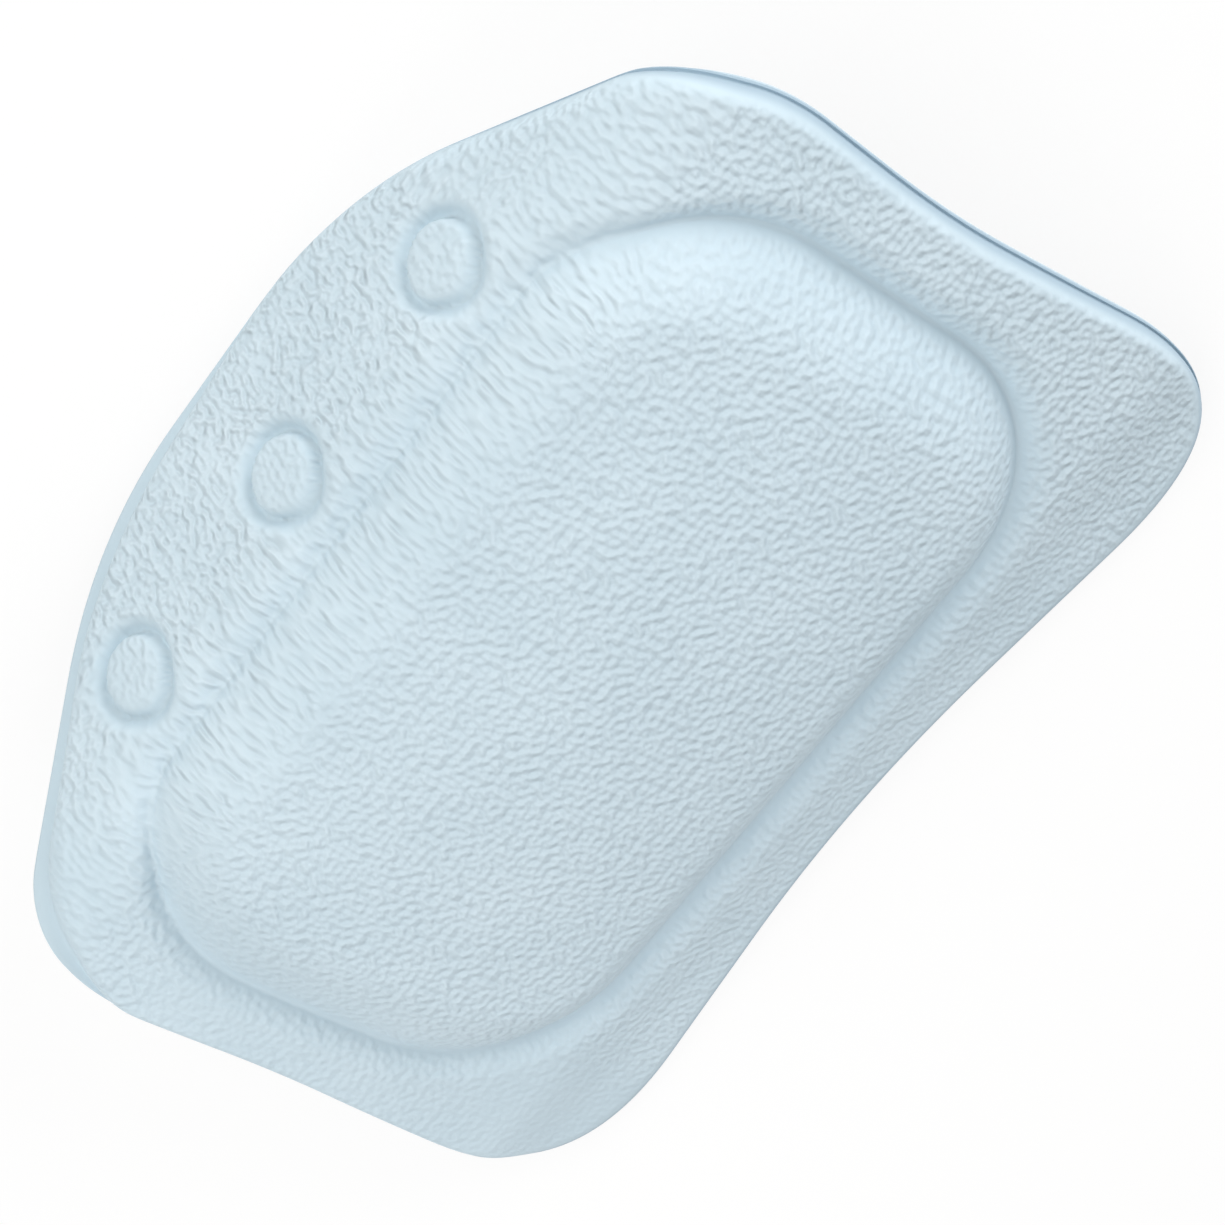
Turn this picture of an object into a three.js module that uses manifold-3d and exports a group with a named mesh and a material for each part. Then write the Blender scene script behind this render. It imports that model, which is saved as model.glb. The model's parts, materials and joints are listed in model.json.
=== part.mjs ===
// Bath pillow: a moulded foam headrest whose bent-back tab carries three suction cups.
// Millimetres, +Z up, resting face up on its tab edge and its two bath-side corners.
// The pad is drawn flat and then bent: u runs across it, s from the bath side to the tab,
// and h up from its back face.

import * as THREE from 'three';
import { mergeVertices } from 'three/addons/utils/BufferGeometryUtils.js';
import Module from 'manifold-3d';

// Cushion: the raised middle, inside the crease
const cushionWidth = 261;
const cushionDepth = 152.5;
const cushionCorner = 53.5;
const wallInset = 20; // the rounded wall reaches this far in from the crease along the sides
const endInset = 29; // and this far in at the ends
const wallRise = 14.5;
const crownRise = 7;

// Flange round the crease, and the tab behind it
const flangeWidth = 26.3;
const flangeHeight = 10.5;
const cornerFlare = 8.7; // the bath-side corners stand out past the ends
const cornerReach = 21.7; // and past the middle of the bath-side edge
const cornerRadius = 60;
const bathEdgeRadius = 410;
const waistDip = 1.3;
const waistRadius = 300;
const shoulderFlare = 2;
const shoulderDrop = 3; // the shoulders lie this far short of the crease's line
const shoulderRadius = 57;
const tabDepth = 66;
const tabWidth = 122;
const tabCornerRadius = 128;
const lipWidth = 2;
const edgeRound = 6.5; // the flange rounds over within this far of the lip
const creaseBand = 1; // a flat band lies along the crease
const creaseSlope = 9; // and the flange slopes down to it over this far
const roundPower = 2.2;

// Bend along the depth: a shallow arch, then a tight bend into the flat tab
const archRadius = 567;
const bendRadius = 21;
const bendAngle = THREE.MathUtils.degToRad(56);
const bendLead = 10; // the bend starts this far before the crease

// Layers
const backThickness = 2;
const weldThickness = 1.7; // the pad is pressed this thin at the lip and in the crease
const padSkin = 4; // the pad's thickness over the core
const seatGap = 0.3; // clearance between pieces that lie on each other
const turnGap = 0.4; // clearance round the cup necks

// Cup row, with a button moulded over each cup's head
const cupSpacing = 71;
const cupRise = 19.5; // from the crease to the row
const buttonRadius = 11;
const buttonDome = 1.2;
const moatWidth = 4.5;
const moatDepth = 3.5;
const neckRadius = 4.5;
const washerRadius = 9;
const washerThickness = 2.6;
const headRadius = 7.5;
const headHeight = 2.8;
const collarRadius = 7;
const collarHeight = 3.5;
const cupRadius = 19;
const cupDepth = 13;
const rimLand = 2; // flat ring at the mouth
const rimThickness = 1.2;
const cupCeiling = 4.2; // solid height over the hollow, at the axis

// Mesh steps
const longSteps = 6;
const shortSteps = 2;
const cornerSteps = 8;
const buttonSides = 12;
const roundSides = 32;

const colours = { pad: 0xc5d7e1, back: 0xb9cbd6, foam: 0xe9e6dc, washer: 0xe4e8ea, cup: 0xd3dde2 };

// Places worked out from the sizes above
const crease = cushionDepth / 2;
const bathEdge = -(crease + flangeWidth);
const endEdge = cushionWidth / 2 + flangeWidth;
const tabEdge = crease + tabDepth;
const cupRow = crease + cupRise;
const floorHeight = backThickness + seatGap; // underside of the pad, on the back sheet
const weldTop = floorHeight + weldThickness;
const washerTop = floorHeight + washerThickness;
const headSeat = washerTop + seatGap;
const headTop = headSeat + headHeight;
const bendStart = crease - bendLead;
const bendEnd = bendStart + bendRadius * bendAngle;
const cupPlaces = { left: -cupSpacing, centre: 0, right: cupSpacing };

const wasm = await Module();
wasm.setup();

// Bend

function spine(s) {
  const startAngle = bendStart / archRadius;
  const endAngle = startAngle + bendAngle;
  if (s <= bendStart) {
    const angle = s / archRadius;
    return { y: archRadius * Math.sin(angle), z: archRadius * (Math.cos(angle) - 1), angle };
  }
  const start = spine(bendStart);
  const angle = Math.min(startAngle + (s - bendStart) / bendRadius, endAngle);
  const straight = Math.max(s - bendEnd, 0);
  return {
    y: start.y + bendRadius * (Math.sin(angle) - Math.sin(startAngle)) + straight * Math.cos(angle),
    z: start.z + bendRadius * (Math.cos(angle) - Math.cos(startAngle)) - straight * Math.sin(angle),
    angle,
  };
}

function bend(u, s, h) {
  const { y, z, angle } = spine(s);
  return new THREE.Vector3(u, y + h * Math.sin(angle), z + h * Math.cos(angle));
}

function bendGeometry(geometry) {
  const place = geometry.getAttribute('position');
  for (let i = 0; i < place.count; i++) {
    const bent = bend(place.getX(i), place.getY(i), place.getZ(i));
    place.setXYZ(i, bent.x, bent.y, bent.z);
  }
  return geometry;
}

// Outline of the flat pad, with rounded corners

function roundedOutline(corners) {
  const shape = new THREE.Shape();
  corners.forEach(([u, s, radius], i) => {
    const here = new THREE.Vector2(u, s);
    const before = new THREE.Vector2(...corners.at(i - 1)).sub(here);
    const after = new THREE.Vector2(...corners[(i + 1) % corners.length]).sub(here);
    const turn = Math.PI - Math.acos(before.dot(after) / (before.length() * after.length()));
    const room = Math.min(before.length(), after.length()) / 2;
    const trim = Math.min(radius * Math.tan(turn / 2), room);
    const enter = before.setLength(trim).add(here);
    const leave = after.setLength(trim).add(here);
    if (i === 0) shape.moveTo(enter.x, enter.y);
    else shape.lineTo(enter.x, enter.y);
    shape.quadraticCurveTo(here.x, here.y, leave.x, leave.y);
  });
  shape.closePath();
  return shape.getPoints(10);
}

function padOutline() {
  const half = [
    [endEdge + cornerFlare, bathEdge - cornerReach, cornerRadius],
    [endEdge - waistDip, 0, waistRadius],
    [endEdge + shoulderFlare, crease - shoulderDrop, shoulderRadius],
    [tabWidth / 2, tabEdge, tabCornerRadius],
  ];
  const mirrored = half.map(([u, s, radius]) => [-u, s, radius]).reverse();
  return roundedOutline([[0, bathEdge, bathEdgeRadius], ...half, ...mirrored]);
}

// Rays: lines square to the crease, from the cushion's corner centres out to the pad's edge

function makeRays() {
  const outline = padOutline();
  const a = cushionWidth / 2 - cushionCorner;
  const b = cushionDepth / 2 - cushionCorner;
  const turn = Math.PI / 2;
  const runs = [
    { from: [0, -b], to: [a, -b], start: -turn, sweep: 0, steps: longSteps / 2 },
    { from: [a, -b], to: [a, -b], start: -turn, sweep: turn, steps: cornerSteps },
    { from: [a, -b], to: [a, b], start: 0, sweep: 0, steps: shortSteps },
    { from: [a, b], to: [a, b], start: 0, sweep: turn, steps: cornerSteps },
    { from: [a, b], to: [-a, b], start: turn, sweep: 0, steps: longSteps },
    { from: [-a, b], to: [-a, b], start: turn, sweep: turn, steps: cornerSteps },
    { from: [-a, b], to: [-a, -b], start: 2 * turn, sweep: 0, steps: shortSteps },
    { from: [-a, -b], to: [-a, -b], start: 2 * turn, sweep: turn, steps: cornerSteps },
    { from: [-a, -b], to: [0, -b], start: 3 * turn, sweep: 0, steps: longSteps / 2 },
  ];
  return runs.flatMap(({ from, to, start, sweep, steps }) =>
    Array.from({ length: steps }, (_, i) => {
      const base = new THREE.Vector2(...from).lerp(new THREE.Vector2(...to), i / steps);
      const angle = start + (sweep * i) / steps;
      const normal = new THREE.Vector2(Math.cos(angle), Math.sin(angle));
      const widen = 1 + (endInset / wallInset - 1) * normal.x ** 2;
      return { base, normal, widen, reach: reachOf(outline, base, normal) };
    }),
  );
}

function reachOf(outline, base, normal) {
  const hits = outline.map((p, i) => {
    const edge = outline[(i + 1) % outline.length].clone().sub(p);
    const offset = p.clone().sub(base);
    const share = -offset.cross(normal) / edge.cross(normal);
    const reach = offset.cross(edge) / normal.cross(edge);
    return share >= 0 && share <= 1 && reach > 0 ? reach : 0;
  });
  return Math.max(...hits);
}

const rays = makeRays();

// Rings of points on the rays. A ring's rule gives each ray's point as [distance, height, shrink].

function ring(rule) {
  return rays.map((ray) => {
    const [distance, height, shrink = 1] = rule(ray);
    const flat = ray.normal.clone().multiplyScalar(distance).add(ray.base).multiplyScalar(shrink);
    return [flat.x, flat.y, height];
  });
}

function insideCrease(inset, height, shrink) {
  return ring((ray) => [cushionCorner - inset * ray.widen, height, shrink]);
}

const lipStart = (ray) => ray.reach - lipWidth;

function acrossFlange(share, heightAt) {
  return ring((ray) => {
    const distance = cushionCorner + share * (lipStart(ray) - cushionCorner);
    return [distance, heightAt(ray, distance)];
  });
}

// A closed body from a top point, over rings in order, to a bottom point. Faces that lie on each
// other are split along the same diagonals, whichever way their rings run, and mirrored about u = 0.
function ringBody(topHeight, rings, bottomHeight) {
  const points = [[0, 0, topHeight], ...rings.flat(), [0, 0, bottomHeight]];
  const count = rays.length;
  const last = points.length - 1;
  const at = (r, i) => 1 + r * count + (i % count);
  const span = (r, i) => Math.hypot(points[at(r, i)][0], points[at(r, i)][1]);
  const index = [];
  for (let i = 0; i < count; i++) {
    index.push(0, at(0, i), at(0, i + 1));
    for (let r = 0; r + 1 < rings.length; r++) {
      const [a, b, c, d] = [at(r, i), at(r + 1, i), at(r + 1, i + 1), at(r, i + 1)];
      const inward = span(r + 1, i) < span(r, i);
      const mirrored = i >= count / 2;
      if (inward !== mirrored) index.push(a, b, c, a, c, d);
      else index.push(a, b, d, b, c, d);
    }
    index.push(last, at(rings.length - 1, i + 1), at(rings.length - 1, i));
  }
  const geometry = new THREE.BufferGeometry();
  geometry.setAttribute('position', new THREE.Float32BufferAttribute(points.flat(), 3));
  geometry.setIndex(index);
  return geometry;
}

// Front surface

const roundOver = (x) => 1 - (1 - THREE.MathUtils.clamp(x, 0, 1)) ** roundPower;
const wallTop = (inset) => weldTop + wallRise * roundOver(inset / wallInset);
const crownTop = (shrink) => weldTop + wallRise + crownRise * (1 - shrink ** 2);

function flangeTop(ray, distance) {
  const rise = roundOver((lipStart(ray) - distance) / edgeRound);
  const fall = roundOver((distance - cushionCorner - creaseBand) / creaseSlope);
  return weldTop + (flangeHeight - weldTop) * rise * fall;
}

const crownShrinks = [0.6];
const wallInsets = [wallInset, wallInset * 0.55, wallInset * 0.25, 0];
// The bend ends this far across the tab
const bendShare = THREE.MathUtils.clamp((bendEnd - crease) / (tabDepth - lipWidth), 0.08, 0.2);
const flangeShares = [bendShare, 2 * bendShare, 0.5, 0.8, 1];
const floorShares = [bendShare, 0.55, 1];
const pocketShoulder = wallInset * 0.7;

// Solids

function solidOf(geometry) {
  const bare = geometry.clone();
  bare.deleteAttribute('normal');
  bare.deleteAttribute('uv');
  const merged = mergeVertices(bare);
  return new wasm.Manifold(new wasm.Mesh({
    numProp: 3,
    vertProperties: new Float32Array(merged.getAttribute('position').array),
    triVerts: new Uint32Array(merged.getIndex().array),
  }));
}

function geometryOf(solid) {
  const mesh = solid.getMesh();
  const geometry = new THREE.BufferGeometry();
  geometry.setAttribute('position', new THREE.Float32BufferAttribute(mesh.vertProperties, 3));
  geometry.setIndex(Array.from(mesh.triVerts));
  return geometry;
}

// A turned body about the h axis, from [radius, height] points
function turned(profile, sides) {
  const points = profile.map(([radius, height]) => new THREE.Vector2(radius, height));
  return new THREE.LatheGeometry(points, sides).rotateX(Math.PI / 2);
}

// Where a cup sits: on the bent back face, with its axis square to the tab
function cupSeat(u) {
  const seat = new THREE.Group();
  seat.position.copy(bend(u, cupRow, 0));
  seat.rotation.x = -spine(cupRow).angle;
  seat.updateMatrix();
  return seat;
}

// Adds or subtracts the same tool at each cup
function atCups(solid, tool, change) {
  return Object.values(cupPlaces).reduce(
    (rest, u) => rest[change](solidOf(tool.clone().applyMatrix4(cupSeat(u).matrix))),
    solid,
  );
}

function plug(radius, low, high) {
  return turned([[0, low], [radius, low], [radius, high], [0, high]], buttonSides);
}

function frontPad() {
  const pocketTop = (inset) => wallTop(inset) - padSkin;
  const body = ringBody(crownTop(0), [
    ...crownShrinks.map((shrink) => insideCrease(wallInset, crownTop(shrink), shrink)),
    ...wallInsets.map((inset) => insideCrease(inset, wallTop(inset))),
    ...flangeShares.map((share) => acrossFlange(share, flangeTop)),
    ring((ray) => [ray.reach, weldTop]),
    ring((ray) => [ray.reach, floorHeight]),
    ...floorShares.toReversed().map((share) => acrossFlange(share, () => floorHeight)),
    insideCrease(0, floorHeight),
    insideCrease(padSkin, floorHeight),
    insideCrease(padSkin + seatGap, pocketTop(padSkin)),
    insideCrease(pocketShoulder, pocketTop(pocketShoulder)),
  ], crownTop(0) - padSkin);
  const above = weldTop + wallRise;
  const moatFloor = flangeHeight - moatDepth;
  const moatEnd = buttonRadius + moatWidth;
  const moat = turned([
    [0, moatFloor], [buttonRadius, moatFloor], [moatEnd, flangeHeight], [moatEnd, above], [0, above],
  ], buttonSides);
  const button = turned([
    [0, weldTop], [buttonRadius, weldTop], [buttonRadius, flangeHeight - buttonDome], [0, flangeHeight],
  ], buttonSides);
  const headPocket = plug(washerRadius + turnGap, 0, headTop + seatGap);
  const bent = solidOf(bendGeometry(body));
  const moated = atCups(bent, moat, 'subtract');
  return geometryOf(atCups(atCups(moated, button, 'add'), headPocket, 'subtract'));
}

function cushionCore() {
  const coreTop = (inset) => wallTop(inset) - padSkin - seatGap;
  const side = padSkin + 2 * seatGap;
  return bendGeometry(ringBody(crownTop(0) - padSkin - seatGap, [
    insideCrease(pocketShoulder + seatGap, coreTop(pocketShoulder)),
    insideCrease(side, coreTop(padSkin)),
    insideCrease(side, floorHeight),
    insideCrease(wallInset / 2, floorHeight),
    insideCrease(wallInset, floorHeight),
    ...crownShrinks.toReversed().map((shrink) => insideCrease(wallInset, floorHeight, shrink)),
  ], floorHeight));
}

function backSheet() {
  const face = (height) => [
    ...crownShrinks.map((shrink) => insideCrease(wallInset, height, shrink)),
    ...[wallInset, wallInset / 2, padSkin, 0].map((inset) => insideCrease(inset, height)),
    ...floorShares.map((share) => acrossFlange(share, () => height)),
    ring((ray) => [ray.reach, height]),
  ];
  const body = ringBody(backThickness, [...face(backThickness), ...face(0).toReversed()], 0);
  const neckHole = plug(neckRadius + turnGap, -backThickness, 2 * backThickness);
  return geometryOf(atCups(solidOf(bendGeometry(body)), neckHole, 'subtract'));
}

function washer() {
  const hole = neckRadius + turnGap;
  return turned([
    [hole, floorHeight], [washerRadius, floorHeight], [washerRadius, washerTop],
    [hole, washerTop], [hole, floorHeight],
  ], roundSides);
}

function suctionCup() {
  const mouth = -seatGap - cupDepth;
  const collarEnd = -seatGap - collarHeight;
  const landStart = cupRadius - rimLand;
  const ceiling = collarEnd - cupCeiling;
  const flare = new THREE.QuadraticBezierCurve(
    new THREE.Vector2(collarRadius, collarEnd),
    new THREE.Vector2((collarRadius + cupRadius) / 2, collarEnd - rimThickness),
    new THREE.Vector2(cupRadius, mouth + rimThickness),
  );
  const hollow = new THREE.QuadraticBezierCurve(
    new THREE.Vector2(landStart, mouth),
    new THREE.Vector2(landStart / 2, ceiling),
    new THREE.Vector2(0, ceiling),
  );
  const spots = (curve) => curve.getPoints(5).map((p) => [p.x, p.y]);
  return turned([
    ...spots(hollow).toReversed(), [cupRadius, mouth], ...spots(flare).toReversed(),
    [collarRadius, -seatGap], [neckRadius, -seatGap], [neckRadius, headSeat],
    [headRadius, headSeat], [headRadius, headSeat + headHeight / 2],
    [headRadius * 0.8, headTop], [0, headTop],
  ], roundSides);
}

// Assembly

function piece(name, geometry, color, roughness) {
  const material = new THREE.MeshStandardMaterial({ color, roughness, metalness: 0 });
  const mesh = new THREE.Mesh(geometry, material);
  mesh.name = name;
  return mesh;
}

const pad = new THREE.Group();
pad.add(piece('front_pad', frontPad(), colours.pad, 0.6));
pad.add(piece('cushion_core', cushionCore(), colours.foam, 0.95));
pad.add(piece('back_sheet', backSheet(), colours.back, 0.7));

for (const [side, u] of Object.entries(cupPlaces)) {
  const seat = cupSeat(u);
  seat.add(piece(`cup_washer_${side}`, washer(), colours.washer, 0.4));
  seat.add(piece(`suction_cup_${side}`, suctionCup(), colours.cup, 0.25));
  pad.add(seat);
}

// Level the pad on its tab edge and its bath-side corners, over the origin
const edgePoints = rays.map((ray) => ray.normal.clone().multiplyScalar(ray.reach).add(ray.base));
const bathFoot = bend(0, Math.min(...edgePoints.map((p) => p.y)), 0);
const tabFoot = bend(0, Math.max(...edgePoints.map((p) => p.y)), 0);
pad.rotation.x = -Math.atan2(tabFoot.z - bathFoot.z, tabFoot.y - bathFoot.y);
const box = new THREE.Box3().setFromObject(pad, true);
pad.position.set(0, -(box.min.y + box.max.y) / 2, -box.min.z);

const bathPillow = new THREE.Group();
bathPillow.add(pad);
export default bathPillow;
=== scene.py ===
import json
import math

import bpy
import numpy as np
from mathutils import Matrix, Vector


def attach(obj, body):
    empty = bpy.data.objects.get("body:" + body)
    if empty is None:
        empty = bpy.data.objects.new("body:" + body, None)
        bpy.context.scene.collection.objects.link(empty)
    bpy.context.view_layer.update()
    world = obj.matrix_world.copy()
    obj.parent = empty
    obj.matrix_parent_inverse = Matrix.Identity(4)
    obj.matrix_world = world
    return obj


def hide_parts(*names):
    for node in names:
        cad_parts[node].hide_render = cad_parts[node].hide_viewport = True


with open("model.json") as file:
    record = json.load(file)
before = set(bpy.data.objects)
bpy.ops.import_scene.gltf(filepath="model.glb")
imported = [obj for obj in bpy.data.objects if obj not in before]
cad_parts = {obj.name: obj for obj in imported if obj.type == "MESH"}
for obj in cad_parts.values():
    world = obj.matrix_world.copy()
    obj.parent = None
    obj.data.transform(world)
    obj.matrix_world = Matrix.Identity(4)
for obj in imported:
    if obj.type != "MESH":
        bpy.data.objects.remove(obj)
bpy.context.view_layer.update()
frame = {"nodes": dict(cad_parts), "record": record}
scene = bpy.context.scene
mm = 0.001
white = (1.0, 1.0, 1.0, 1.0)
print("frame loaded,", len(frame["nodes"]), "nodes")


# Node wiring

class Wire:
    def __init__(self, board, socket):
        self.board = board
        self.socket = socket

    def __add__(self, other):
        return self.board.maths("ADD", self, other)

    def __radd__(self, other):
        return self.board.maths("ADD", other, self)

    def __sub__(self, other):
        return self.board.maths("SUBTRACT", self, other)

    def __rsub__(self, other):
        return self.board.maths("SUBTRACT", other, self)

    def __mul__(self, other):
        return self.board.maths("MULTIPLY", self, other)

    def __rmul__(self, other):
        return self.board.maths("MULTIPLY", other, self)

    def __truediv__(self, other):
        return self.board.maths("DIVIDE", self, other)

    def __rtruediv__(self, other):
        return self.board.maths("DIVIDE", other, self)


class Board:
    def __init__(self, tree):
        self.tree = tree
        tree.nodes.clear()

    def add(self, kind, settings=None, sockets=None, out=0):
        node = self.tree.nodes.new(kind)
        for name, value in (settings or {}).items():
            setattr(node, name, value)
        for name, value in (sockets or {}).items():
            if isinstance(value, Wire):
                self.tree.links.new(value.socket, node.inputs[name])
            else:
                node.inputs[name].default_value = value
        if isinstance(out, tuple):
            return [Wire(self, node.outputs[name]) for name in out]
        return Wire(self, node.outputs[out]) if len(node.outputs) else node

    def maths(self, operation, *values, clamp=False):
        settings = {"operation": operation, "use_clamp": clamp}
        return self.add("ShaderNodeMath", settings, dict(enumerate(values)))

    def mix(self, factor, first, second):  # by the numbers of the node's colour sockets
        kind = {"data_type": "RGBA"}
        return self.add("ShaderNodeMix", kind, {0: factor, 6: first, 7: second}, out=2)

    def attribute(self, name, out):
        return self.add("ShaderNodeAttribute", {"attribute_name": name}, out=out)

    def noise(self, place, scale, detail, dimensions="3D"):
        sockets = {"Vector": place, "Scale": scale, "Detail": detail}
        return self.add("ShaderNodeTexNoise", {"noise_dimensions": dimensions}, sockets)

    def bump(self, height, distance, strength=1.0):
        sockets = {"Strength": strength, "Distance": distance, "Height": height}
        return self.add("ShaderNodeBump", None, sockets)


def paint(code):  # a hex colour in linear light
    parts = [int(code[i:i + 2], 16) / 255 for i in (0, 2, 4)]
    return (*[p / 12.92 if p <= 0.04045 else ((p + 0.055) / 1.055) ** 2.4 for p in parts], 1.0)


def newFinish(name):
    finish = bpy.data.materials.new(name)
    finish.use_nodes = True
    return finish, Board(finish.node_tree)


def closeFinish(board, shader):
    board.add("ShaderNodeOutputMaterial", None, {"Surface": shader})


def closePrincipled(board, sockets):
    closeFinish(board, board.add("ShaderNodeBsdfPrincipled", None, sockets))


def seenRays(board):  # rays by which the viewer sees the surroundings
    names = ("Is Camera Ray", "Is Glossy Ray", "Is Transmission Ray")
    direct, mirrored, through = board.add("ShaderNodeLightPath", out=names)
    return board.maths("MAXIMUM", board.maths("MAXIMUM", direct, mirrored), through)


# Finishes

def padSkin():
    look = {
        # the third colour is painted shade, put on the rim along the pad's outer edge
        "high": "d1e1ea", "low": "b8ccd7", "pressed": "9fb5c4",
        "grainScale": 450.0, "grainMean": 0.5, "grainDepth": 0.00095, "drawnDepth": 1.6,
        "cloudScale": 22.0, "cloudDetail": 3.0,
        "paintedValleyShade": 0.3, "paintedShadeByDepth": 0.17, "cloudShade": 0.5, "baseShade": 0.14,
        "rough": 0.72, "pressedRough": 0.62, "specular": 0.25,
    }
    finish, board = newFinish("grainedSkin")
    flat = board.attribute("flat", "Vector")
    ray = board.attribute("ray", "Vector")
    drawn = board.attribute("drawn", "Fac")
    depth = board.attribute("grainDepth", "Fac")
    pressed = board.attribute("pressed", "Fac")
    pebbles = board.noise(flat, look["grainScale"], 0.0, "2D") - look["grainMean"]
    lines = board.noise(ray, look["grainScale"], 0.0) - look["grainMean"]
    relief = pebbles * (1.0 - drawn) + lines * (drawn * look["drawnDepth"])
    cloud = board.noise(flat, look["cloudScale"], look["cloudDetail"], "2D")
    # The colour mix paints shade: grain valleys are painted darker, and places with shallow grain (the
    # crease, the edges, round the buttons) are painted darker while deep grain is painted lighter; the
    # cloud is the skin's own uneven tone.
    toneAndPaintedShade = relief * depth * look["paintedValleyShade"] + depth * look["paintedShadeByDepth"] + cloud * look["cloudShade"]
    shade = board.maths("ADD", toneAndPaintedShade, look["baseShade"], clamp=True)
    skin = board.mix(shade, paint(look["low"]), paint(look["high"]))
    closePrincipled(board, {
        # the rim along the outer edge is painted darker as shade
        "Base Color": board.mix(pressed, skin, paint(look["pressed"])),
        "Roughness": look["pressedRough"] + depth * (look["rough"] - look["pressedRough"]),
        "Specular IOR Level": look["specular"],
        "Normal": board.bump(relief * depth, look["grainDepth"]),
    })
    return finish


def backVinyl():
    look = {
        "high": "c6d7e1", "low": "b4c8d4", "cloudScale": 30.0, "cloudDetail": 4.0,
        "poreScale": 900.0, "poreDetail": 2.0, "poreDepth": 0.0001, "poreStrength": 0.5,
        "rough": 0.55, "roughRange": 0.15, "specular": 0.3,
    }
    finish, board = newFinish("smoothBacking")
    flat = board.attribute("flat", "Vector")
    cloud = board.noise(flat, look["cloudScale"], look["cloudDetail"], "2D")
    pores = board.noise(flat, look["poreScale"], look["poreDetail"], "2D")
    closePrincipled(board, {
        "Base Color": board.mix(cloud, paint(look["low"]), paint(look["high"])),
        "Roughness": look["rough"] + pores * look["roughRange"],
        "Specular IOR Level": look["specular"],
        "Normal": board.bump(pores, look["poreDepth"], look["poreStrength"]),
    })
    return finish


def openFoam():
    look = {
        "centre": "efece2", "wall": "d9d4c6", "cellScale": 700.0, "cellDepth": 0.0004,
        "cellStrength": 0.8, "rough": 0.95,
    }
    finish, board = newFinish("openFoam")
    place = board.add("ShaderNodeTexCoord", out="Object")
    cells = board.add("ShaderNodeTexVoronoi", None, {"Vector": place, "Scale": look["cellScale"]})
    closePrincipled(board, {
        "Base Color": board.mix(cells, paint(look["centre"]), paint(look["wall"])),
        "Roughness": look["rough"],
        "Normal": board.bump(cells, look["cellDepth"], look["cellStrength"]),
    })
    return finish


def washerPlastic():
    look = {
        "high": "eaeef0", "low": "dfe4e7", "speckScale": 600.0, "speckDetail": 2.0,
        "rough": 0.35, "roughRange": 0.2,
    }
    finish, board = newFinish("washerPlastic")
    place = board.add("ShaderNodeTexCoord", out="Object")
    speck = board.noise(place, look["speckScale"], look["speckDetail"])
    closePrincipled(board, {
        "Base Color": board.mix(speck, paint(look["low"]), paint(look["high"])),
        "Roughness": look["rough"] + speck * look["roughRange"],
    })
    return finish


def clearVinyl():
    look = {
        "high": "eaf1f4", "low": "dbe7ec", "hazeScale": 120.0, "hazeDetail": 3.0,
        "rippleScale": 260.0, "rippleDetail": 1.0, "rippleDepth": 0.0002, "rippleStrength": 0.3,
        "rough": 0.12, "roughRange": 0.16, "transmission": 0.75, "index": 1.47,
    }
    finish, board = newFinish("clearVinyl")
    place = board.add("ShaderNodeTexCoord", out="Object")
    haze = board.noise(place, look["hazeScale"], look["hazeDetail"])
    ripple = board.noise(place, look["rippleScale"], look["rippleDetail"])
    closePrincipled(board, {
        "Base Color": board.mix(haze, paint(look["low"]), paint(look["high"])),
        "Roughness": look["rough"] + haze * look["roughRange"],
        "Transmission Weight": look["transmission"], "IOR": look["index"],
        "Normal": board.bump(ripple, look["rippleDepth"], look["rippleStrength"]),
    })
    return finish


# Geometry node trees

def newTree(name, inputs):
    tree = bpy.data.node_groups.new(name, "GeometryNodeTree")
    tree.interface.new_socket("Geometry", in_out="OUTPUT", socket_type="NodeSocketGeometry")
    tree.interface.new_socket("Geometry", in_out="INPUT", socket_type="NodeSocketGeometry")
    for label, kind in inputs:
        tree.interface.new_socket(label, in_out="INPUT", socket_type="NodeSocket" + kind)
    board = Board(tree)
    names = ("Geometry", *[label for label, kind in inputs])
    return tree, board, dict(zip(names, board.add("NodeGroupInput", out=names)))


def closeTree(board, geometry, finish):
    whole = board.add("GeometryNodeRealizeInstances", None, {"Geometry": geometry})
    dressed = board.add("GeometryNodeSetMaterial", None, {"Geometry": whole, "Material": finish})
    board.add("NodeGroupOutput", None, {"Geometry": dressed})


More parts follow.
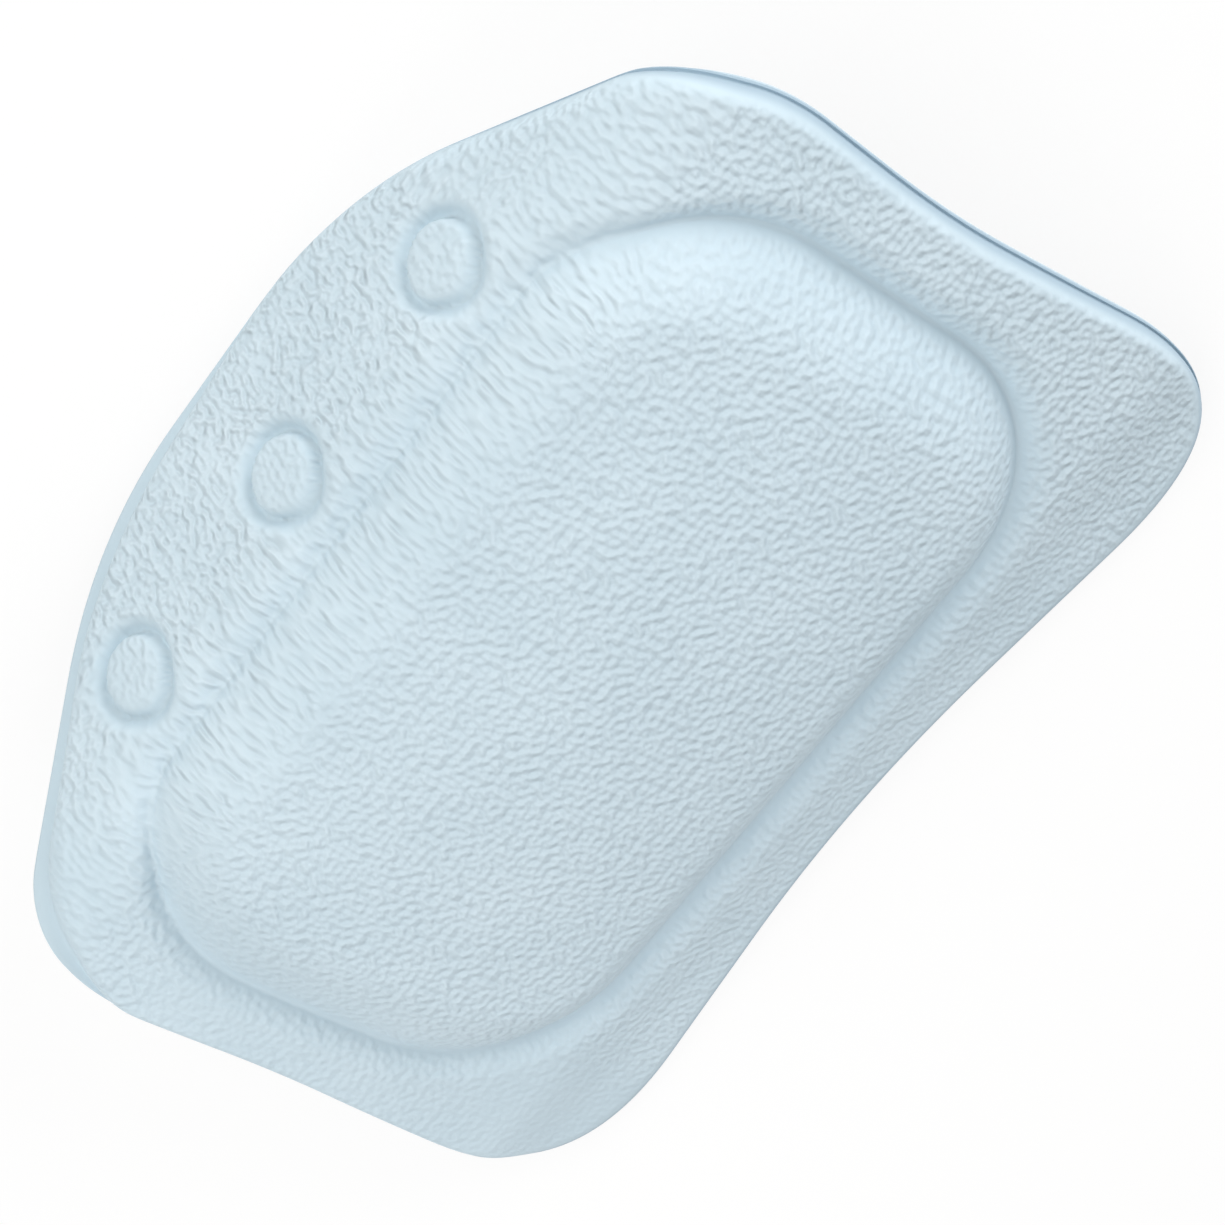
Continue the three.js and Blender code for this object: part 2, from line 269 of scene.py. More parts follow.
def bendTree():  # arches the flat pad, bends its tab back and keeps the flat places for the grain
    tree, board, given = newTree("bendPad", [
        ("Arch radius", "Float"), ("Bend radius", "Float"), ("Bend angle", "Float"),
        ("Bend start", "Float"), ("Tilt", "Float"), ("Shift Y", "Float"), ("Shift Z", "Float"),
        ("Finish", "Material"),
    ])
    arch, tight, sweep = given["Arch radius"], given["Bend radius"], given["Bend angle"]
    start, tilt = given["Bend start"], given["Tilt"]
    place = board.add("GeometryNodeInputPosition")
    kept = board.add(
        "GeometryNodeStoreNamedAttribute", {"data_type": "FLOAT_VECTOR", "domain": "POINT"},
        {"Geometry": given["Geometry"], "Name": "flat", "Value": place})
    u, s, h = board.add("ShaderNodeSeparateXYZ", None, {0: place}, out=("X", "Y", "Z"))

    def sin(angle):
        return board.maths("SINE", angle)

    def cos(angle):
        return board.maths("COSINE", angle)

    archTurn = board.maths("MINIMUM", s, start) / arch
    bendTurn = board.maths("MINIMUM", board.maths("MAXIMUM", (s - start) / tight, 0.0), sweep)
    turn = archTurn + bendTurn
    straight = board.maths("MAXIMUM", s - start - tight * sweep, 0.0)
    across = arch * sin(archTurn) + tight * (sin(turn) - sin(archTurn))
    drop = arch * (cos(archTurn) - 1.0) + tight * (cos(turn) - cos(archTurn))
    y = across + straight * cos(turn) + h * sin(turn)
    z = drop - straight * sin(turn) + h * cos(turn)
    spot = board.add("ShaderNodeCombineXYZ", None, {
        "X": u,
        "Y": y * cos(tilt) - z * sin(tilt) + given["Shift Y"],
        "Z": y * sin(tilt) + z * cos(tilt) + given["Shift Z"],
    })
    bent = board.add("GeometryNodeSetPosition", None, {"Geometry": kept, "Position": spot})
    closeTree(board, bent, given["Finish"])
    return tree


def turnTree():  # turns a profile about its axis
    tree, board, given = newTree("turnProfile", [
        ("Sides", "Int"), ("Edge round", "Float"), ("Edge steps", "Int"), ("Core", "Float"),
        ("Weld", "Float"), ("Finish", "Material"),
    ])
    line = board.add("GeometryNodeMeshToCurve", None, {"Mesh": given["Geometry"]})
    eased = board.add("GeometryNodeFilletCurve", {"mode": "POLY"}, {
        "Curve": line, "Count": given["Edge steps"], "Radius": given["Edge round"], "Limit Radius": True,
    })
    circle = board.add(
        "GeometryNodeCurvePrimitiveCircle", {"mode": "RADIUS"},
        {"Resolution": given["Sides"], "Radius": given["Core"]}, out="Curve")
    body = board.add("GeometryNodeCurveToMesh", None, {"Curve": circle, "Profile Curve": eased})
    joined = board.add("GeometryNodeMergeByDistance", None, {"Geometry": body, "Distance": given["Weld"]})
    shaded = board.add("GeometryNodeSetShadeSmooth", None, {"Geometry": joined, "Shade Smooth": True})
    closeTree(board, shaded, given["Finish"])
    return tree


def bakePiece(source, tree, values, name):
    modifier = source.modifiers.new("shape", "NODES")
    modifier.node_group = tree
    given = [item for item in tree.interface.items_tree if item.in_out == "INPUT"]
    sockets = {item.name: item.identifier for item in given}
    for label, value in values.items():
        modifier[sockets[label]] = value
    graph = bpy.context.evaluated_depsgraph_get()
    mesh = bpy.data.meshes.new_from_object(
        source.evaluated_get(graph), preserve_all_data_layers=True, depsgraph=graph)
    bpy.data.objects.remove(source)
    mesh.name = name
    piece = bpy.data.objects.new(name, mesh)
    scene.collection.objects.link(piece)
    return piece


# The pad, drawn flat in millimetres: u across, s from the bath side to the tab, h up from the back

pad = {
    "cushion": (261.0, 152.5), "cushionCorner": 53.5, "wallInset": 20.0, "endInset": 29.0,
    "wallRise": 14.5, "crownRise": 7.0, "roundPower": 2.2, "bathEase": 0.5,
    "flange": 26.3, "flangeHeight": 10.5, "bathDroop": 3.6, "outlineSteps": 48,
    "cornerFlare": 8.7, "cornerReach": 21.7, "cornerRadius": 60.0, "bathEdgeRadius": 410.0,
    "waistDip": 1.3, "waistRadius": 300.0,
    "shoulderFlare": 2.0, "shoulderDrop": 3.0, "shoulderRadius": 57.0,
    "tabDepth": 66.0, "tabWidth": 122.0, "tabCornerRadius": 128.0, "tabFade": (45.0, 74.0),
    "lip": 1.2, "wideLip": 6.5, "wideLipAcross": (-40.0, 60.0), "wideLipAlong": (45.0, 80.0),
    "edgeRound": 5.2, "tabEdgeRound": 9.0, "endEdgeRound": 3.8, "endFade": (125.0, 150.0),
    "edgeStep": 1.8, "tabStep": 0.9,
    "creaseBand": 1.0, "creaseSlope": 9.0, "tabSlope": 5.0, "creasePower": 1.8,
    "creaseLift": 1.2, "tabLift": 2.2, "nearLift": 1.5, "nearFade": (90.0, 126.0), "bathLift": 0.6,
    "floor": 2.3, "weldTop": 4.0, "skin": 4.0, "gap": 0.3, "backThickness": 2.0, "bendLead": 10.0,
    "cupSpacing": 71.0, "cupRise": 19.5,
    "button": 11.0, "buttonRise": 0.6, "buttonDome": 0.9, "domePower": 4, "buttonEdge": 0.8,
    "moatInside": 1.0, "moatWidth": 5.0, "moatDepth": 5.0,
    "pocket": 9.4, "pocketTop": 8.3, "neckHole": 4.9, "holeSides": 64,
}
crease = pad["cushion"][1] / 2
straightU = pad["cushion"][0] / 2 - pad["cushionCorner"]
straightS = crease - pad["cushionCorner"]
peak = pad["weldTop"] + pad["wallRise"] + pad["crownRise"]
cupRow = crease + pad["cupRise"]
cupPlaces = {"left": -pad["cupSpacing"], "centre": 0.0, "right": pad["cupSpacing"]}
bendSizes = {
    "Arch radius": 0.567, "Bend radius": 0.021, "Bend angle": math.radians(56),
    "Bend start": mm * (crease - pad["bendLead"]), "Tilt": math.radians(13.1556),
    "Shift Y": -0.005261, "Shift Z": 0.038168,
}


def smooth(x, start, end):
    t = np.clip((x - start) / (end - start), 0.0, 1.0)
    return t * t * (3.0 - 2.0 * t)


def between(first, last, share):
    return first + (last - first) * share


def roundOver(x, power=pad["roundPower"]):
    return 1.0 - (1.0 - np.clip(x, 0.0, 1.0)) ** power


def cornerCurve(start, corner, end, steps):
    t = np.linspace(0.0, 1.0, steps)[:, None]
    return (1 - t) ** 2 * np.array(start) + 2 * t * (1 - t) * np.array(corner) + t ** 2 * np.array(end)


def padOutline():
    bathEdge = -(crease + pad["flange"])
    endEdge = pad["cushion"][0] / 2 + pad["flange"]
    half = [
        (endEdge + pad["cornerFlare"], bathEdge - pad["cornerReach"], pad["cornerRadius"]),
        (endEdge - pad["waistDip"], 0.0, pad["waistRadius"]),
        (endEdge + pad["shoulderFlare"], crease - pad["shoulderDrop"], pad["shoulderRadius"]),
        (pad["tabWidth"] / 2, crease + pad["tabDepth"], pad["tabCornerRadius"]),
    ]
    corners = [(0.0, bathEdge, pad["bathEdgeRadius"])] + half + [(-u, s, r) for u, s, r in reversed(half)]
    points = []
    for i, (u, s, radius) in enumerate(corners):
        here = np.array((u, s))
        before = np.array(corners[i - 1][:2]) - here
        after = np.array(corners[(i + 1) % len(corners)][:2]) - here
        spans = np.linalg.norm(before), np.linalg.norm(after)
        turn = math.pi - math.acos(before @ after / (spans[0] * spans[1]))
        trim = min(radius * math.tan(turn / 2), min(spans) / 2)
        enter = here + before / spans[0] * trim
        leave = here + after / spans[1] * trim
        points.append(cornerCurve(enter, here, leave, pad["outlineSteps"]))
    return np.vstack(points)


def padRays(longSteps, shortSteps, cornerSteps):  # lines square to the crease, out to the pad's edge
    a, b = straightU, straightS
    quarter, parallel = math.pi / 2, 1e-9
    runs = [
        ((0, -b), (a, -b), -1, 0, longSteps // 2), ((a, -b), (a, -b), -1, 1, cornerSteps),
        ((a, -b), (a, b), 0, 0, shortSteps), ((a, b), (a, b), 0, 1, cornerSteps),
        ((a, b), (-a, b), 1, 0, longSteps), ((-a, b), (-a, b), 1, 1, cornerSteps),
        ((-a, b), (-a, -b), 2, 0, shortSteps), ((-a, -b), (-a, -b), 2, 1, cornerSteps),
        ((-a, -b), (0, -b), 3, 0, longSteps // 2),
    ]
    bases, normals = [], []
    for start, end, first, sweep, steps in runs:
        share = np.arange(steps)[:, None] / steps
        angle = (first + sweep * share[:, 0]) * quarter
        bases.append(np.array(start) + share * (np.array(end) - np.array(start)))
        normals.append(np.stack([np.cos(angle), np.sin(angle)], 1))
    base, normal = np.vstack(bases), np.vstack(normals)
    outline = padOutline()
    edge = np.roll(outline, -1, 0) - outline
    offset = outline[None] - base[:, None]
    across = edge[None, :, 0] * normal[:, None, 1] - edge[None, :, 1] * normal[:, None, 0]
    across = np.where(np.abs(across) < parallel, parallel, across)
    share = -(offset[..., 0] * normal[:, None, 1] - offset[..., 1] * normal[:, None, 0]) / across
    reach = -(offset[..., 0] * edge[None, :, 1] - offset[..., 1] * edge[None, :, 0]) / across
    reach = np.where((share >= 0) & (share <= 1), reach, 0.0).max(1)
    return base, normal, reach


def crown(u, s):
    return pad["crownRise"] * (1 - (u * 2 / pad["cushion"][0]) ** 2) * (1 - (s / crease) ** 2)


def alongTab(s):
    return smooth(s, *pad["tabFade"])


def creaseTop(u, s):  # the crease is pressed deepest at its far end
    side = pad["tabLift"] * alongTab(s) + pad["bathLift"] * alongTab(-s)
    lift = np.maximum(side, pad["nearLift"] * smooth(-u, *pad["nearFade"]))
    return pad["weldTop"] + pad["creaseLift"] + lift


def cushionTop(u, s, inset):
    wall = roundOver(inset / pad["wallInset"], pad["roundPower"] - pad["bathEase"] * alongTab(-s))
    top = pad["weldTop"] + pad["wallRise"] + crown(u, s)
    return creaseTop(u, s) * (1 - wall) + top * wall


def flangeTop(u, s, distance, lipStart):
    tab = alongTab(s)
    step = between(pad["edgeStep"], pad["tabStep"], tab)
    droop = pad["bathDroop"] * smooth(-s, crease, crease + pad["flange"])
    full = pad["flangeHeight"] - pad["weldTop"] - droop
    edge = between(pad["edgeRound"], pad["tabEdgeRound"], tab)
    edge = between(edge, pad["endEdgeRound"], smooth(np.abs(u), *pad["endFade"]))
    rise = between(step, full, roundOver((lipStart - distance) / edge))
    out = distance - pad["cushionCorner"] - pad["creaseBand"]
    slope = roundOver(out / between(pad["creaseSlope"], pad["tabSlope"], tab), pad["creasePower"])
    return creaseTop(u, s) * (1 - slope) + (pad["weldTop"] + rise) * slope


def withButtons(u, s, h):
    size, top, out = pad["button"], pad["flangeHeight"] + pad["buttonRise"], h.copy()
    for centre in cupPlaces.values():
        r = np.hypot(u - centre, s - cupRow)
        outside = smooth(r, size - pad["moatInside"], size + pad["moatWidth"])
        moat = h - pad["moatDepth"] * (1.0 - outside)
        dome = top - pad["buttonDome"] * (r / size) ** pad["domePower"]
        edge = smooth(r, size - pad["buttonEdge"], size + pad["buttonEdge"])
        near = np.maximum(dome * (1 - edge) + moat * edge, pad["weldTop"])
        out = np.where(r < size + pad["moatWidth"], near, out)
    return out


def ringMesh(name, rings, topPoint, bottomPoint):
    count = len(rings[0])
    points = np.vstack([[topPoint], *rings, [bottomPoint]]) * mm
    last = len(points) - 1
    i = np.arange(count)
    j = (i + 1) % count
    faces = [(0, 1 + p, 1 + q) for p, q in zip(i, j)]
    for r in range(len(rings) - 1):
        a, b = 1 + r * count, 1 + (r + 1) * count
        faces += np.stack([a + i, b + i, b + j, a + j], 1).tolist()
    a = 1 + (len(rings) - 1) * count
    faces += [(last, a + q, a + p) for p, q in zip(i, j)]
    mesh = bpy.data.meshes.new(name)
    mesh.from_pydata(points.tolist(), [], faces)
    mesh.polygons.foreach_set("use_smooth", [True] * len(mesh.polygons))
    piece = bpy.data.objects.new(name, mesh)
    scene.collection.objects.link(piece)
    return piece


def cutAtCups(piece, radius, low, high):  # straight holes in the flat piece, one for each cup
    for centre in cupPlaces.values():
        bpy.ops.mesh.primitive_cylinder_add(
            vertices=pad["holeSides"], radius=radius * mm, depth=(high - low) * mm,
            location=(centre * mm, cupRow * mm, (high + low) * mm / 2))
        cutter = bpy.context.object
        cut = piece.modifiers.new("hole", "BOOLEAN")
        cut.operation = "DIFFERENCE"
        cut.solver = "EXACT"
        cut.object = cutter
        bpy.context.view_layer.objects.active = piece
        bpy.ops.object.modifier_apply(modifier=cut.name)
        bpy.data.objects.remove(cutter)


class Rings:  # closed rings of points, one point on each ray
    def __init__(self, steps):
        self.base, self.normal, self.reach = padRays(*steps)
        u, s = (self.base + self.normal * self.reach[:, None]).T
        wide = smooth(-u, *pad["wideLipAcross"]) * smooth(s, *pad["wideLipAlong"])
        self.lip = between(pad["lip"], pad["wideLip"], wide)  # wider along the near half of the tab
        self.lipStart = self.reach - self.lip
        self.widen = between(1.0, pad["endInset"] / pad["wallInset"], self.normal[:, 0] ** 2)

    def at(self, distance, height, shrink=1.0):
        flat = (self.base + self.normal * np.broadcast_to(distance, self.reach.shape)[:, None]) * shrink
        h = height(flat[:, 0], flat[:, 1]) if callable(height) else height
        return np.column_stack([flat, np.broadcast_to(h, self.reach.shape)])

    def inside(self, inset, height, shrink=1.0):
        return self.at(pad["cushionCorner"] - inset * self.widen, height, shrink)

    def below(self, inset, drop=0.0, ease=0.0, shrink=1.0):  # under the cushion's top by the drop
        return self.inside(inset, lambda u, s: cushionTop(u, s, inset - ease) - drop, shrink)

    def across(self, share):
        return between(pad["cushionCorner"], self.lipStart, share)


# Rings of the pad from its middle over the top, round the lip and back under. Pairs hold a share or a
# distance in from the edge, and a height over the weld or the floor.

frontRings = {
    "steps": (134, 40, 73), "crown": (0.03, 1.0, 38), "wall": 27, "wallPower": 1.3, "flange": 63,
    "groove": ((0.08, -0.4), (0.33, -0.5), (0.6, -0.2), (0.7, -0.15)),
    "lipMargin": 0.15, "lipShare": 0.12, "lipDrop": 0.15,
    "edgeTop": ((0.25, -0.17), (0.05, -0.5), (0.0, -0.85)),
    "edgeUnder": ((0.0, 0.15), (0.1, -0.1), (0.5, -0.2), (4.0, -0.2)),
    "under": (0.8, 0.5, 0.25, 0.1, 0.0),
    "hollowWall": (0.15, 0.85), "hollow": (4.5, 6.5, 9.0, 12.0, 16.0), "hollowTop": (1.0, 0.06, 10),
}


def frontPad():
    rings = Rings(frontRings["steps"])
    inset, weld, floor, skin = pad["wallInset"], pad["weldTop"], pad["floor"], pad["skin"]
    stack = [rings.below(inset, shrink=shrink) for shrink in np.linspace(*frontRings["crown"])]
    wallShares = np.linspace(1.0, 0.0, frontRings["wall"])[1:] ** frontRings["wallPower"]
    stack += [rings.below(inset * share) for share in wallShares]
    for share in np.linspace(0.0, 1.0, frontRings["flange"])[1:]:
        distance = rings.across(share)
        stack.append(rings.at(
            distance, lambda u, s: withButtons(u, s, flangeTop(u, s, distance, rings.lipStart))))
    for share, lift in frontRings["groove"]:
        stack.append(rings.at(rings.lipStart + share * rings.lip, weld + lift))
    lipEnd = rings.reach - frontRings["lipMargin"] - frontRings["lipShare"] * rings.lip
    stack.append(rings.at(lipEnd, weld - frontRings["lipDrop"]))
    stack += [rings.at(rings.reach - back, weld + lift) for back, lift in frontRings["edgeTop"]]
    stack += [rings.at(rings.reach - back, floor + lift) for back, lift in frontRings["edgeUnder"]]
    stack += [rings.at(rings.across(share), floor) for share in frontRings["under"]]
    stack.append(rings.inside(skin, floor))
    hollowSide = cushionTop(0.0, crease, skin) - skin
    for share in frontRings["hollowWall"]:
        stack.append(rings.inside(skin + pad["gap"], between(floor, hollowSide, share)))
    stack += [rings.below(depth, skin) for depth in (*frontRings["hollow"], inset)]
    for shrink in np.linspace(*frontRings["hollowTop"])[1:]:
        stack.append(rings.below(inset, skin, shrink=shrink))
    flat = ringMesh("frontPadFlat", stack, (0, 0, peak), (0, 0, peak - skin))
    paintZones(flat, rings)
    cutAtCups(flat, pad["pocket"], 0.0, pad["pocketTop"])
    return bakePiece(flat, bendPad, {**bendSizes, "Finish": padSkin()}, "padFront")


# Where the grain fades, in millimetres, and how much it gains or loses by side

zones = {
    "tabOrFar": (8.0, 40.0), "nearOrBath": (20.0, 50.0), "wall": (-28.0, -6.0), "flange": (2.0, 8.0),
    "drawn": 0.8, "drawnEnd": (5.0, 30.0),
    "creaseBare": 0.3, "creaseFade": 4.0, "creaseFadeFar": 4.0,
    # the last pair here is the span, in millimetres in from the outer edge, where painted shade darkens
    # the rim
    "edgeBare": 0.4, "edgeFade": 3.4, "edgeFadeFar": 2.0, "pressed": (0.8, 3.2),
    "flangeFar": 0.2, "flangeTab": 0.6, "flangeTabNear": 0.4,
    "flangeNear": 0.45, "flangeBath": 0.1, "flangeCorner": 0.12,
    "wallTab": 0.3, "wallFar": 0.2, "wallBath": 0.25, "wallNear": 0.45,
    "buttonRim": (-2.2, -0.6), "buttonLoss": 0.4, "moat": (2.0, 7.0), "moatLoss": 0.75,
    "finer": 1.12, "pull": 0.75,
}


def paintZones(piece, rings):  # where the grain is drawn out, how deep it is, and where painted shade darkens the edge
    mesh = piece.data
    coords = np.empty(len(mesh.vertices) * 3)
    mesh.vertices.foreach_get("co", coords)
    u, s = coords.reshape(-1, 3).T[:2] / mm

    def spread(values, pole):  # one value for each ray, over all rings and the two middle points
        return np.concatenate([[pole], np.tile(values, len(u) // len(values)), [pole]])

    overU, overS = u - np.clip(u, -straightU, straightU), s - np.clip(s, -straightS, straightS)
    out = np.hypot(overU, overS) - pad["cushionCorner"]  # distance outside the crease
    edge = spread(rings.reach, pad["cushion"][0]) - pad["cushionCorner"] - out
    lip = spread(rings.lip, 0.0)
    tabSide, farEnd = smooth(overS, *zones["tabOrFar"]), smooth(overU, *zones["tabOrFar"])
    nearEnd, bathSide = smooth(-overU, *zones["nearOrBath"]), smooth(-overS, *zones["nearOrBath"])
    bathSide *= 1 - farEnd
    shown = tabSide * (1 - farEnd)
    wall = smooth(out, *zones["wall"])
    flange = smooth(out, *zones["flange"])
    drawn = zones["drawn"] * wall * tabSide * (1 - smooth(np.abs(overU), *zones["drawnEnd"]))

    plain = (1 - tabSide) + tabSide * farEnd  # the crease is smooth except along the tab
    creaseFade = zones["creaseFade"] + zones["creaseFadeFar"] * farEnd * flange
    grained = 1.0 - plain * (1 - smooth(np.abs(out), zones["creaseBare"], creaseFade))
    grained *= smooth(edge - lip, zones["edgeBare"], zones["edgeFade"] + zones["edgeFadeFar"] * farEnd)
    pressed = (1 - smooth(edge, *zones["pressed"])) * (1 - shown)  # painted shade: the rim along the outer edge is darkened, except along the tab

    quiet = zones["flangeNear"] * nearEnd + zones["flangeBath"] * bathSide
    quiet += zones["flangeCorner"] * nearEnd * bathSide
    tabGain = zones["flangeTab"] * shown * (1 - zones["flangeTabNear"] * nearEnd)
    zone = 1.0 + flange * (zones["flangeFar"] * farEnd - quiet + tabGain)
    wallGain = zones["wallTab"] * shown - zones["wallFar"] * farEnd
    wallGain -= zones["wallBath"] * bathSide + zones["wallNear"] * nearEnd
    zone += wall * (1 - flange) * wallGain
    for centre in cupPlaces.values():
        past = np.hypot(u - centre, s - cupRow) - pad["button"]
        rim = smooth(past, *zones["buttonRim"])
        moat = rim * (1 - smooth(past, *zones["moat"]))
        zone *= 1.0 - zones["buttonLoss"] * (1 - rim) - zones["moatLoss"] * moat

    # drawn grain is finer across the rays, and longer along them by one over the pull
    creaseRing = rings.inside(0.0, 0.0)
    steps = np.linalg.norm(creaseRing - np.roll(creaseRing, 1, 0), axis=1)
    loop = steps.sum() / (2 * math.pi)
    around = spread(np.cumsum(steps) / loop, 0.0)
    ray = np.column_stack([loop * np.cos(around), loop * np.sin(around), zones["pull"] * out])
    ray *= zones["finer"] * mm
    for name, values in (("drawn", drawn), ("grainDepth", grained * zone), ("pressed", pressed)):
        mesh.attributes.new(name, "FLOAT", "POINT").data.foreach_set("value", values)
    mesh.attributes.new("ray", "FLOAT_VECTOR", "POINT").data.foreach_set("vector", ray.ravel())


coreRings = {
    "steps": (34, 10, 18), "crown": (0.1, 1.0, 10), "wall": (16.0, 12.0, 9.0, 6.8), "ease": 0.4,
    "bottomEdge": 1.0, "bottomInset": 12.0, "bottom": (1.0, 0.1, 8),
}


def cushionCore():
    rings = Rings(coreRings["steps"])
    inset, floor, bevel = pad["wallInset"], pad["floor"], coreRings["bottomEdge"]
    side = pad["skin"] + 2 * pad["gap"]
    under = pad["skin"] + pad["gap"]
    stack = [rings.below(inset, under, shrink=shrink) for shrink in np.linspace(*coreRings["crown"])]
    stack += [rings.below(depth, under, coreRings["ease"]) for depth in (*coreRings["wall"], side)]
    stack.append(rings.inside(side, floor + bevel))
    stack += [rings.inside(depth, floor) for depth in (side + bevel, coreRings["bottomInset"], inset)]
    stack += [rings.inside(inset, floor, shrink) for shrink in np.linspace(*coreRings["bottom"])[1:]]
    flat = ringMesh("coreFlat", stack, (0, 0, peak - under), (0, 0, floor))
    return bakePiece(flat, bendPad, {**bendSizes, "Finish": openFoam()}, "padCore")


backRings = {
    "steps": (80, 24, 44), "middle": (0.08, 1.0, 16), "crease": 11, "flange": 33, "holeMargin": 1.0,
    "rimTop": ((0.5, 0.0), (0.12, -0.1), (0.0, -0.35)), "rimUnder": ((0.0, 0.8), (0.3, 0.2), (1.0, 0.0)),
}


def backSheet():
    rings = Rings(backRings["steps"])
    thick, inset, margin = pad["backThickness"], pad["wallInset"], backRings["holeMargin"]
    creaseShares = np.linspace(1.0, 0.0, backRings["crease"])[1:]
    flangeShares = np.linspace(0.0, 1.0, backRings["flange"])[1:]

    def face(height):
        rows = [rings.inside(inset, height, shrink) for shrink in np.linspace(*backRings["middle"])]
        rows += [rings.inside(inset * share, height) for share in creaseShares]
        rows += [rings.at(rings.across(share), height) for share in flangeShares]
        return rows

    stack = face(thick)
    stack += [rings.at(rings.reach - back, thick + lift) for back, lift in backRings["rimTop"]]
    stack += [rings.at(rings.reach - back, height) for back, height in backRings["rimUnder"]]
    stack += reversed(face(0.0))
    flat = ringMesh("backFlat", stack, (0, 0, thick), (0, 0, 0))
    cutAtCups(flat, pad["neckHole"], -margin, thick + margin)
    return bakePiece(flat, bendPad, {**bendSizes, "Finish": backVinyl()}, "padBack")


# Suction cups, turned about the seat's axis. Millimetres, measured from the pad's back face.

cup = {
    "radius": 19.0, "depth": 13.0, "rimLand": 2.0, "rimThickness": 1.2, "ceiling": 4.2,
    "collarRadius": 7.0, "collarHeight": 3.5, "neck": 4.5, "gap": 0.3,
    "headSeat": 5.2, "headRadius": 7.5, "headHeight": 2.8, "headTaper": 0.8,
    "curveSteps": 18, "sides": 96, "edgeRound": 0.35, "edgeSteps": 4, "core": 0.01, "weld": 0.04,
}


def cupProfile():
    mouth = -cup["gap"] - cup["depth"]
    collarEnd = -cup["gap"] - cup["collarHeight"]
    land = cup["radius"] - cup["rimLand"]
    ceiling = collarEnd - cup["ceiling"]
    headTop = cup["headSeat"] + cup["headHeight"]
    hollow = cornerCurve((0, ceiling), (land / 2, ceiling), (land, mouth), cup["curveSteps"])
    bell = cornerCurve(
        (cup["radius"], mouth + cup["rimThickness"]),
        ((cup["collarRadius"] + cup["radius"]) / 2, collarEnd - cup["rimThickness"]),
        (cup["collarRadius"], collarEnd), cup["curveSteps"])
    stem = [
        (cup["collarRadius"], -cup["gap"]), (cup["neck"], -cup["gap"]),
        (cup["neck"], cup["headSeat"]), (cup["headRadius"], cup["headSeat"]),
        (cup["headRadius"], cup["headSeat"] + cup["headHeight"] / 2),
        (cup["headRadius"] * cup["headTaper"], headTop), (0, headTop),
    ]
    return hollow.tolist() + [(cup["radius"], mouth)] + bell.tolist() + stem


def suctionCup(side, joint, finish):
    line = cupProfile()
    mesh = bpy.data.meshes.new("cupLine")
    points = [(r * mm, -h * mm, 0.0) for r, h in line]
    mesh.from_pydata(points, [(i, i + 1) for i in range(len(line) - 1)], [])
    source = bpy.data.objects.new("cupLine", mesh)
    scene.collection.objects.link(source)
    piece = bakePiece(source, turnProfile, {
        "Sides": cup["sides"], "Edge round": cup["edgeRound"] * mm, "Edge steps": cup["edgeSteps"],
        "Core": cup["core"] * mm, "Weld": cup["weld"] * mm, "Finish": finish,
    }, "cup_" + side)
    axis = Vector(joint["axis"])
    lean = Matrix.Rotation(-math.atan2(axis.y, axis.z), 4, "X")
    piece.data.transform(Matrix.Translation(joint["pos_m"]) @ lean)
    return piece


# Camera at the photograph's place

camera = {
    "place": (0.23901, 0.19211, 0.67055), "turn": (-24.9693, -2.1998, -53.4231),
    "focal": 2600.0, "image": 1225.0, "sensor": 36.0,
}
lens = bpy.data.cameras.new("camera")
lens.sensor_width = camera["sensor"]
lens.lens = camera["sensor"] * camera["focal"] / camera["image"]
view = bpy.data.objects.new("camera", lens)
view.location = camera["place"]
view.rotation_euler = [math.radians(a) for a in camera["turn"]]
scene.collection.objects.link(view)
scene.camera = view

# Pieces

bendPad = bendTree()
turnProfile = turnTree()

front = frontPad()
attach(front, "pad")
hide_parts("front_pad")
print("front pad,", len(front.data.polygons), "faces")

core = cushionCore()
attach(core, "pad")
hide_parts("cushion_core")
print("core,", len(core.data.polygons), "faces")

back = backSheet()
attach(back, "pad")
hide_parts("back_sheet")
print("back sheet,", len(back.data.polygons), "faces")

vinyl = clearVinyl()
washer = washerPlastic()
joints = {joint["name"]: joint for joint in frame["record"]["behaviour"]["joints"]}
for side in cupPlaces:
    piece = suctionCup(side, joints[f"cup_{side}_swivel"], vinyl)
    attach(piece, f"cup_{side}")
    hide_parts(f"suction_cup_{side}")
    node = bpy.data.objects[f"cup_washer_{side}"]
    node.data.materials.clear()
    node.data.materials.append(washer)
    print("cup", side, len(piece.data.polygons), "faces")


# Floor and light

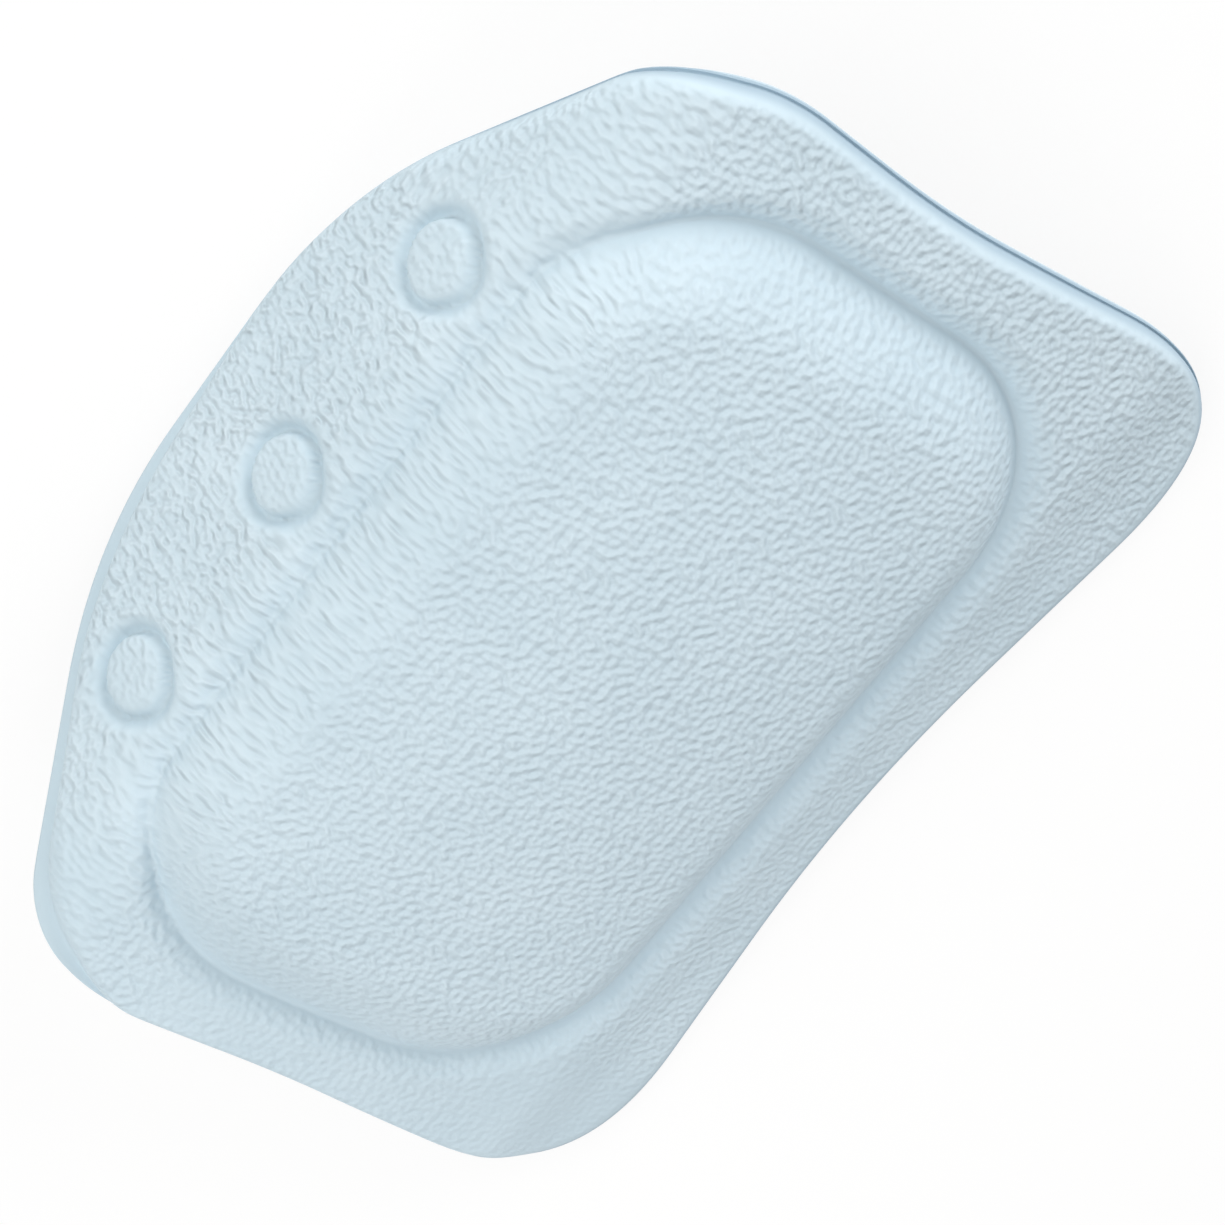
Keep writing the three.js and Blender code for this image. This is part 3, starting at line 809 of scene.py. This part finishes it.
ground = {
    "size": 8.0, "height": -0.0004, "low": "f4f4f4", "high": "f8f8f8",
    "speckScale": 90.0, "speckDetail": 2.0, "glow": 0.86,
}
studio = {
    "world": 0.335,
    "lamps": {
        "end": {"place": (1.449, 0.0, 0.388), "power": 19.8, "size": 1.5, "tint": (1.0, 0.99, 0.99)},
        "tab": {"place": (0.0, 0.964, 1.149), "power": 12.8, "size": 1.5, "tint": (1.0, 0.99, 0.96)},
        "fill": {"place": (-0.513, -0.239, 0.566), "power": 2.0, "size": 0.6, "tint": (1.0, 0.98, 0.97)},
    },
}


def floorFinish():
    finish, board = newFinish("paleFloor")
    place = board.add("ShaderNodeTexCoord", out="Object")
    speck = board.noise(place, ground["speckScale"], ground["speckDetail"])
    tone = board.mix(speck, paint(ground["low"]), paint(ground["high"]))
    matt = board.add("ShaderNodeBsdfDiffuse", None, {"Color": tone})
    glow = board.add("ShaderNodeEmission", None, {"Color": white, "Strength": 1.0})
    share = seenRays(board) * ground["glow"]
    closeFinish(board, board.add("ShaderNodeMixShader", None, {0: share, 1: matt, 2: glow}))
    return finish


def softbox(name, place, power, size, tint):
    lamp = bpy.data.lights.new(name, "AREA")
    lamp.energy = power
    lamp.color = tint
    lamp.size = size
    lamp.shape = "DISK"
    box = bpy.data.objects.new(name, lamp)
    box.location = place
    box.rotation_euler = (-Vector(place)).to_track_quat("-Z", "Y").to_euler()
    scene.collection.objects.link(box)


bpy.ops.mesh.primitive_plane_add(size=ground["size"], location=(0, 0, ground["height"]))
floor = bpy.context.object
floor.name = "floor"
floor.data.materials.append(floorFinish())

world = bpy.data.worlds.new("studio")
world.use_nodes = True
skyBoard = Board(world.node_tree)
strength = seenRays(skyBoard) * (1.0 - studio["world"]) + studio["world"]
sky = skyBoard.add("ShaderNodeBackground", None, {"Color": white, "Strength": strength})
skyBoard.add("ShaderNodeOutputWorld", None, {"Surface": sky})
scene.world = world
for name, lamp in studio["lamps"].items():
    softbox(name, **lamp)
scene.view_settings.view_transform = "Standard"
print("floor and light set")
